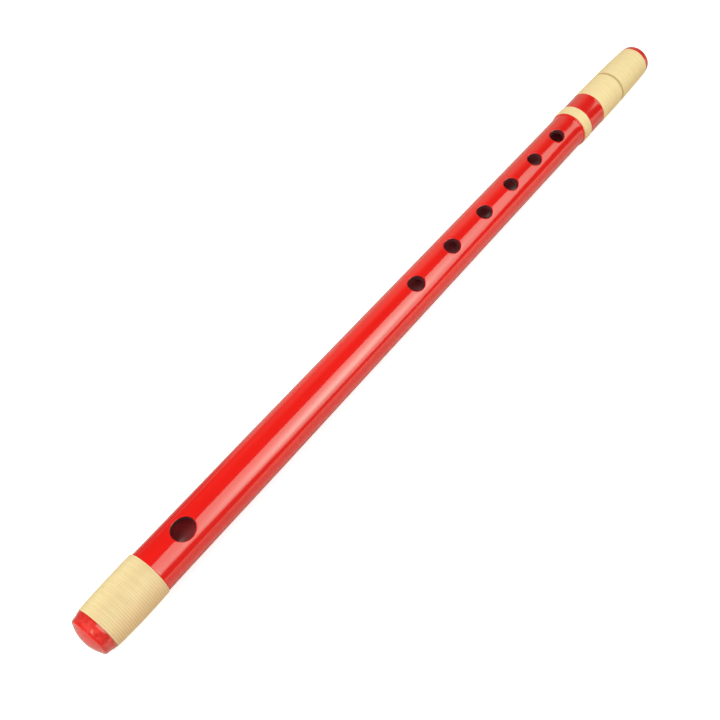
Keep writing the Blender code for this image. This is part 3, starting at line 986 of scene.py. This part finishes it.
def lacquer(name, masked):
    """Lacquer; the tube has masks for its inside and for its bare land, and the plug has none."""
    finish = Finish(bpy.data.materials.new(name))
    along = finish.parts(finish.place())[0]
    drift = finish.ramp(finish.noise(finish.place(DRIFT_STRETCH), DRIFT_SIZE), *DRIFT_SPREAD)
    deeper = DRIFT_SHARE * drift + TAIL_SHARE * finish.ramp(along, *TOWARDS_TAIL)
    on_ring = finish.ramp(along, *RING_ENDS) * finish.ramp(along, *RING_STARTS)
    thick = on_ring + finish.ramp(along, *RIM_STARTS)
    spots = finish.noise(finish.place(), WORN_SIZE, detail=1.0)
    worn = finish.ramp(spots, *WORN_SPREAD) * on_ring
    worn_red = finish.blend(worn, LACQUER_THICK, LACQUER_WORN)
    colour = finish.blend(thick, finish.blend(deeper, LACQUER_RED, LACQUER_DEEP), worn_red)
    waves = finish.noise(finish.place(WAVE_STRETCH), WAVE_SIZE, detail=1.0)
    normal = finish.bump(waves + thick * finish.noise(finish.place(), LUMP_SIZE), LACQUER_BUMP)
    inputs = {"Base Color": colour, "Roughness": BODY_ROUGHNESS, "Normal": normal, "Coat Weight": 1.0}
    inputs |= {"Coat Roughness": COAT_ROUGHNESS, "Coat IOR": LACQUER_INDEX, "IOR": LACQUER_INDEX}
    if masked:
        inside, bare, deep = (finish.painted(mask) for mask in ("inside", "bare", "deep"))
        # From the finger holes on, the bore is painted greyer: a painted veil of stray light.
        bore = finish.blend(finish.ramp(along, *VEIL_STARTS), BORE_RED, BORE_PAINTED_VEIL)
        # Painted shade: the walls of the holes are coloured dark, and the bore keeps its red.
        colour = finish.blend(inside, colour, finish.blend(deep, WALL_PAINTED_SHADE, bore))
        grain = finish.noise(finish.place(GRAIN_STRETCH), GRAIN_SIZE)
        bamboo = finish.blend(grain, BARE_BAMBOO, BAMBOO_GRAIN)
        inputs["Base Color"] = finish.blend(bare, colour, bamboo)
        coat_lost = inside * (WALL_COAT_LOST - BORE_COAT_KEPT * deep)
        inputs["Coat Weight"] = 1 - BARE_COAT_LOST * bare - coat_lost
        rougher = inside * (WALL_ROUGHER - BORE_SMOOTHER * deep)
        inputs["Roughness"] = BODY_ROUGHNESS + rougher + BARE_ROUGHER * bare
    else:
        mottle = finish.noise(finish.place(), MOTTLE_SIZE, detail=3.0)
        inputs["Base Color"] = finish.blend(mottle, colour, LACQUER_DOME)
        inputs["Coat Roughness"] = DOME_ROUGHNESS
    finish.surface(inputs)
    return finish.owner


wear(tube, lacquer("red lacquer on bamboo", True))
wear(plug, lacquer("red lacquer on wood", False))
print("lacquer mixed for", tube.name, "and", plug.name)

# %% [markdown]
# ## Rattan and cork
#
# Split rattan keeps its natural skin: cream, satin, with fine fibres that run along the strip, and
# with patches from straw to peach. At the head its top is painted darker, like straw, as painted
# shade, and its viewer's side is painted lighter and peach, as painted light. Its turns have
# slightly darker edges, and on that side much darker ones, as painted shade in the grooves. The
# fibres must follow the strip round the flute, so their noise is read from the turn and the place
# across that were stored while winding, and not from space. The cork is matt brown with dark pores.

# %% Mix the rattan and the cork
RATTAN_CREAM = paper_colour(255, 234, 173)
# Straw for the random patches, and also for the painted shade on top of the head winding.
RATTAN_STRAW_AND_TOP_SHADE = paper_colour(230, 203, 148)
# Peach for the random blush, and also for the painted light on the viewer's side of the head winding.
RATTAN_PEACH_AND_LIGHT = paper_colour(255, 224, 168)
# Edge colour: slightly dark joints everywhere, and painted shade in the grooves on the viewer's side.
RATTAN_JOINT_AND_SHADE = paper_colour(150, 112, 62)
RATTAN_FIBRE = paper_colour(214, 178, 112)
CORK_BROWN, CORK_PORES = paper_colour(176, 132, 90), paper_colour(96, 62, 38)
ROUND_MM = 60.0
PATCH_LONG, PATCH_SIZE, PATCH_SPREAD, PATCH_SHARE = 14.0, 1.4, (0.3, 0.7), 0.3
FIBRE_LONG, FIBRE_FINE, FIBRE_DRIFT = 20.0, 7.0, 0.1
FIBRE_SPREAD, FIBRE_SHARE, FIBRE_BUMP = (0.55, 0.8), 0.22, 0.012
HEAD_ENDS, TOP_SHADE_ENDS, PAINTED_LIGHT_STARTS = (100.0, 165.0), (0.0, 7.5), (-1.0, -10.0)
TOP_SHADE_SHARE = 0.7
BLUSH_SIZE, BLUSH_SPREAD, BLUSH_SHARE = 7.0, (0.4, 0.75), 0.3
EDGE_STARTS, EDGE_SHARE, GROOVE_SHADE_SHARE = (0.12, 0.24), 0.03, 0.22
RATTAN_ROUGHNESS, FIBRE_ROUGHER = 0.45, 0.2
PORE_SIZE, PORE_SPREAD, PORE_BUMP = 0.7, (0.5, 0.62), 0.1


def rattan(name):
    """Rattan strip; its fibres follow the stored turn and place across."""
    finish = Finish(bpy.data.materials.new(name))
    turn, across = finish.painted("turn"), finish.painted("across")
    along, across_flute, _ = finish.parts(finish.place())
    at_head = 1 - finish.ramp(along, *HEAD_ENDS)
    # Painted shade: the top of the head winding is made darker and more straw-coloured.
    top_shade_mask = 1 - finish.ramp(across_flute, *TOP_SHADE_ENDS)
    strip = finish.point(turn * ROUND_MM / PATCH_LONG, across, 0.0)
    patches = finish.ramp(finish.noise(strip, PATCH_SIZE), *PATCH_SPREAD)
    # Random straw patches plus the painted shade on top of the head winding.
    straw = PATCH_SHARE * patches + TOP_SHADE_SHARE * at_head * top_shade_mask
    colour = finish.blend(straw, RATTAN_CREAM, RATTAN_STRAW_AND_TOP_SHADE)
    blush = finish.ramp(finish.noise(finish.place(), BLUSH_SIZE, detail=1.0), *BLUSH_SPREAD)
    # Painted light: the viewer's side of the head winding is made lighter and peach.
    painted_light_side = finish.ramp(across_flute, *PAINTED_LIGHT_STARTS) * at_head
    peach = painted_light_side + BLUSH_SHARE * blush
    colour = finish.blend(peach.least(1.0), colour, RATTAN_PEACH_AND_LIGHT)
    fine_strip = finish.point(turn * ROUND_MM / FIBRE_LONG, across * FIBRE_FINE, turn * FIBRE_DRIFT)
    fibres = finish.noise(fine_strip, 1.0, detail=3.0)
    colour = finish.blend(finish.ramp(fibres, *FIBRE_SPREAD) * FIBRE_SHARE, colour, RATTAN_FIBRE)
    # Slightly dark joints at every turn's edges, much darker on the head's viewer side as painted shade.
    off_middle = (across - 0.5) * (across - 0.5)
    edge = finish.ramp(off_middle, *EDGE_STARTS) * (EDGE_SHARE + GROOVE_SHADE_SHARE * painted_light_side)
    finish.surface({
        "Base Color": finish.blend(edge, colour, RATTAN_JOINT_AND_SHADE),
        "Roughness": RATTAN_ROUGHNESS + FIBRE_ROUGHER * fibres,
        "IOR": 1.4,
        "Coat Weight": 0.12,
        "Coat Roughness": 0.15,
        "Normal": finish.bump(fibres, FIBRE_BUMP),
    })
    return finish.owner


def cork_finish(name):
    """Matt cork with darker pores."""
    finish = Finish(bpy.data.materials.new(name))
    pores = finish.noise(finish.place(), PORE_SIZE, detail=4.0)
    colour = finish.blend(finish.ramp(pores, *PORE_SPREAD), CORK_BROWN, CORK_PORES)
    finish.surface({"Base Color": colour, "Roughness": 0.9, "Normal": finish.bump(pores, PORE_BUMP)})
    return finish.owner


rattan_material = rattan("split rattan")
for winding in windings:
    wear(winding, rattan_material)
wear(cork, cork_finish("cork"))
print("materials:", len(bpy.data.materials))

# %% [markdown]
# ## White paper
#
# The flute lies on a wide white sheet. The floor is a plain diffuse surface, so it keeps the soft
# shadow. For the camera alone it gets a little light of its own, and more of it far off, so that
# all the paper reaches full white without more light falling on the flute. What the lacquer
# mirrors decides how its sides look, so for mirrors the sheet carries painted light and shade:
# bright and warm on the viewer's side, painted dimmer under the flute and beyond it, and a painted
# shadow on the far side by the head, where the flute's own shadow falls.

# %% Lay the floor
PAPER_SIZE = 12.0

bpy.ops.mesh.primitive_plane_add(size=PAPER_SIZE, location=(0, 0, 0))
floor = bpy.context.object
floor.name = "paper_floor"
PAPER_WHITE = (0.88, 0.88, 0.88, 1.0)
# For mirrors only: painted shade on the paper near the flute, and painted light and warmth far off.
PAPER_NEAR_SHADED = (0.6, 0.5, 0.42, 1.0)
PAPER_FAR_LIT = (0.98, 0.7, 0.56, 1.0)
# Painted shadow: the flute's own shadow on the paper by the head, seen only in mirrors.
PAPER_PAINTED_SHADOW = (0.12, 0.12, 0.12, 1.0)
FAR_OFF = (-20.0, -250.0)
SHADOW_SIDE, SHADOW_END = (20.0, 50.0), (-115.0, -85.0)
PAPER_LIFT, FAR_LIFT = 0.72, 0.28
FAR_PAPER = (600.0, 2500.0)

paper = Finish(bpy.data.materials.new("white paper"))
to_camera = paper.node("ShaderNodeLightPath", output="Is Camera Ray")
away = paper.node("ShaderNodeVectorMath", {"operation": "LENGTH"}, {0: paper.place()}, "Value")
lifted = to_camera * (PAPER_LIFT + FAR_LIFT * paper.ramp(away, *FAR_PAPER))
lift = paper.node("ShaderNodeEmission", None, {"Color": lifted, "Strength": 1.0})
paper_x, paper_y, _ = paper.parts(paper.place())
# Where the painted shadow lies: on the far side, by the head.
painted_shadow = paper.ramp(paper_y, *SHADOW_SIDE) * (1 - paper.ramp(paper_x, *SHADOW_END))
mirrored = paper.blend(paper.ramp(paper_y, *FAR_OFF), PAPER_NEAR_SHADED, PAPER_FAR_LIT)
mirrored = paper.blend(painted_shadow, mirrored, PAPER_PAINTED_SHADOW)
body = paper.node("ShaderNodeBsdfDiffuse", None, {"Color": paper.blend(to_camera, mirrored, PAPER_WHITE)})
both = paper.node("ShaderNodeAddShader", None, {0: body, 1: lift})
paper.node("ShaderNodeOutputMaterial", None, {"Surface": both})
wear(floor, paper.owner)
print(f"the paper is {PAPER_SIZE:.0f} m wide")

# %% [markdown]
# ## Studio light
#
# The main lamp is a large soft box behind the camera, over the head end and a little to the far
# side. It lights the top of the flute and the paper evenly. In the studio the long tube doesn't
# mirror it to the camera, so here it is hidden from mirrors, and the red stays deep.

# %% Hang the main lamp
MAIN_PLACE = (-0.75, 0.5, 1.3)
MAIN_SIZE = 1.1
MAIN_POWER = 20.4


def area_lamp(name, place, size, power):
    """A rectangular soft box that faces straight down."""
    bpy.ops.object.light_add(type="AREA", location=place)
    lamp = bpy.context.object
    lamp.name = name
    lamp.data.shape = "RECTANGLE"
    lamp.data.size, lamp.data.size_y = size
    lamp.data.energy = power
    return lamp


def face_the_flute(lamp):
    """Turns a lamp towards the middle of the flute."""
    lamp.rotation_euler = (-lamp.location).to_track_quat("-Z", "Y").to_euler()


main_lamp = area_lamp("main_lamp", MAIN_PLACE, (MAIN_SIZE, MAIN_SIZE), MAIN_POWER)
main_lamp.visible_glossy = False
face_the_flute(main_lamp)
print(f"the main lamp is {MAIN_SIZE} m wide and {main_lamp.location.length:.2f} m away")

# %% [markdown]
# The long pink bar along the flute is the mirror image of a second soft box, hung over the side
# that faces the viewer with one edge straight above the flute. It is there for its reflection
# and not for its light, so it is hidden from diffuse surfaces. Its middle is brighter than its
# edges, as in every soft box with one lamp inside, and so the bar is brightest near the mouth hole
# and fades towards the tail. Its cloth lets through less red, because the lacquer adds its own, and
# the bar would clip. Two weak lamps that no mirror sees help it: a warm one, low on the viewer's
# side, lights the flank, and one above the tail lights the windings there.

# %% Hang the mirrored soft box and the two weak lamps
BOX_SIZE = (1.15, 1.6)
BOX_NEAR = 0.01
BOX_PLACE = (0.285, BOX_NEAR - BOX_SIZE[1] / 2, 0.61)
BOX_POWER = 22.0
CLOTH_LIGHT, MIDDLE_LIGHT = 0.52, 1.0
MIDDLE_PLACE, MIDDLE_WIDTH = (0.285, -0.48), (0.22, 0.29)
SIDE_START, SIDE_SLOPE, SIDE_MOST, SIDE_SOFT = 0.8, 1.045, 1.35, 0.17
END_START, END_SLOPE, END_MOST, END_SOFT = 0.625, 0.56, 0.83, 0.03
BOX_COLOUR = (0.45, 1.0, 0.87, 1.0)
FILL_PLACE, FILL_SIZE, FILL_POWER = (0.12, -0.5, 0.2), 0.5, 1.1
FILL_COLOUR = (1.0, 0.93, 0.8)
TAIL_LAMP_PLACE, TAIL_LAMP_SIZE, TAIL_LAMP_POWER = (0.22, -0.05, 0.5), 0.3, 0.18

fill_lamp = area_lamp("fill_lamp", FILL_PLACE, (FILL_SIZE, FILL_SIZE), FILL_POWER)
fill_lamp.data.color = FILL_COLOUR
face_the_flute(fill_lamp)
tail_lamp = area_lamp("tail_lamp", TAIL_LAMP_PLACE, (TAIL_LAMP_SIZE, TAIL_LAMP_SIZE), TAIL_LAMP_POWER)
for weak_lamp in (fill_lamp, tail_lamp):
    weak_lamp.visible_glossy = False
    weak_lamp.visible_camera = False
box = area_lamp("soft_box", BOX_PLACE, BOX_SIZE, BOX_POWER)
box.visible_diffuse = False
cloth = Finish(box.data)
share_x, share_y, _ = cloth.parts(cloth.node("ShaderNodeNewGeometry", output="Parametric"))
along_box = BOX_PLACE[0] + BOX_SIZE[0] * (share_x - 0.5)
across_box = BOX_PLACE[1] + BOX_SIZE[1] * (share_y - 0.5)
off_along = (along_box - MIDDLE_PLACE[0]) / MIDDLE_WIDTH[0]
off_across = (across_box - MIDDLE_PLACE[1]) / MIDDLE_WIDTH[1]
glow = (-1 * (off_along * off_along + off_across * off_across)).power_of_e()
side_edge = (SIDE_START + SIDE_SLOPE * along_box).least(SIDE_MOST)
end_edge = (END_START - END_SLOPE * across_box).least(END_MOST)
within = cloth.ramp(across_box + side_edge, -SIDE_SOFT, SIDE_SOFT)
within = within * cloth.ramp(end_edge - along_box, -END_SOFT, END_SOFT)
light = cloth.node(
    "ShaderNodeEmission", None,
    {"Color": BOX_COLOUR, "Strength": (CLOTH_LIGHT + MIDDLE_LIGHT * glow) * within},
)
cloth.node("ShaderNodeOutputLight", None, {"Surface": light})

# %% [markdown]
# The rest of the studio is dim above and pale near the horizon, where white sweeps stand. These
# give the flute's sides their muted bars. The world is painted by direction, and the camera sees
# plain white wherever it looks past the paper.

# %% Paint the studio round the flute
ROOM_DIM = 0.12
SWEEP_COLOUR = (1.3, 0.8, 0.62, 1.0)
ROOM_SOFT, ROOM_LEAN = 0.31, 0.5
SWEEP_PALE, FAR_PALE = 1.08, 0.6
SWEEP_TOP, SWEEP_LEAN, SWEEP_SOFT = 0.185, 0.22, 0.03
LEAN_X, LEAN_Y = 0.75, 0.66
FAR_TOP, FAR_TURN, FAR_FROM = (0.35, 0.75), 0.287, (-0.05, 0.32)
SIDE_CHANGE = 0.1
TAIL_DARKER, TAIL_FROM = 0.7, (0.75, 0.95)

world = bpy.data.worlds.new("studio")
bpy.context.scene.world = world
room = Finish(world)
look_x, look_y, look_z = room.parts(room.node("ShaderNodeTexCoord", output="Generated"))
top = SWEEP_TOP + SWEEP_LEAN * (LEAN_X * look_x + LEAN_Y * look_y)
near_sweep = 1 - room.ramp(look_z - top, -SWEEP_SOFT, SWEEP_SOFT)
far_sweep = (1 - room.ramp(look_z, *FAR_TOP)) * room.ramp(look_x - FAR_TURN * look_y, *FAR_FROM)
this_side = 1 - room.ramp(look_y, -SIDE_CHANGE, SIDE_CHANGE)
near_light = this_side * (SWEEP_PALE - ROOM_DIM) * near_sweep
far_light = (1 - this_side) * (FAR_PALE - ROOM_DIM) * far_sweep
sweep = near_light + far_light
tail_dark = 1 - TAIL_DARKER * room.ramp(look_x, *TAIL_FROM)
mirrored = ROOM_DIM + sweep * tail_dark
ray = room.node("ShaderNodeLightPath", output="Is Camera Ray")
is_glossy = Value(room, ray.socket.node.outputs["Is Glossy Ray"])
soft = ROOM_SOFT * (1 - ROOM_LEAN * look_x)
around = soft + is_glossy * (mirrored - soft)
strength = around + ray * (1 - around)
tint = room.blend(is_glossy, (1, 1, 1, 1), SWEEP_COLOUR)
sky = room.node("ShaderNodeBackground", None, {"Color": tint, "Strength": strength})
room.node("ShaderNodeOutputWorld", None, {"Surface": sky})
print("the room is painted")

# %% [markdown]
# ## The camera
#
# The flute is seen from above and from beyond its head, so it runs from the lower left to the
# upper right, and the head, which is nearer, looks larger. The place and the lens were worked out
# from that taper.

# %% Set up the camera
CAMERA_PLACE = (-0.25825, -0.114275, 0.438448)
CAMERA_TURN = (28.931, -6.075, -51.799)
CAMERA_LENS = 53.25

bpy.ops.object.camera_add(location=CAMERA_PLACE, rotation=tuple(math.radians(a) for a in CAMERA_TURN))
camera = bpy.context.object
camera.name = "picture_camera"
camera.data.lens = CAMERA_LENS
camera.data.sensor_width = 36.0
camera.data.clip_start = 0.01
scene = bpy.context.scene
scene.camera = camera
scene.view_settings.view_transform = "Standard"
print(f"the camera stands {camera.location.length:.2f} m from the middle of the flute")
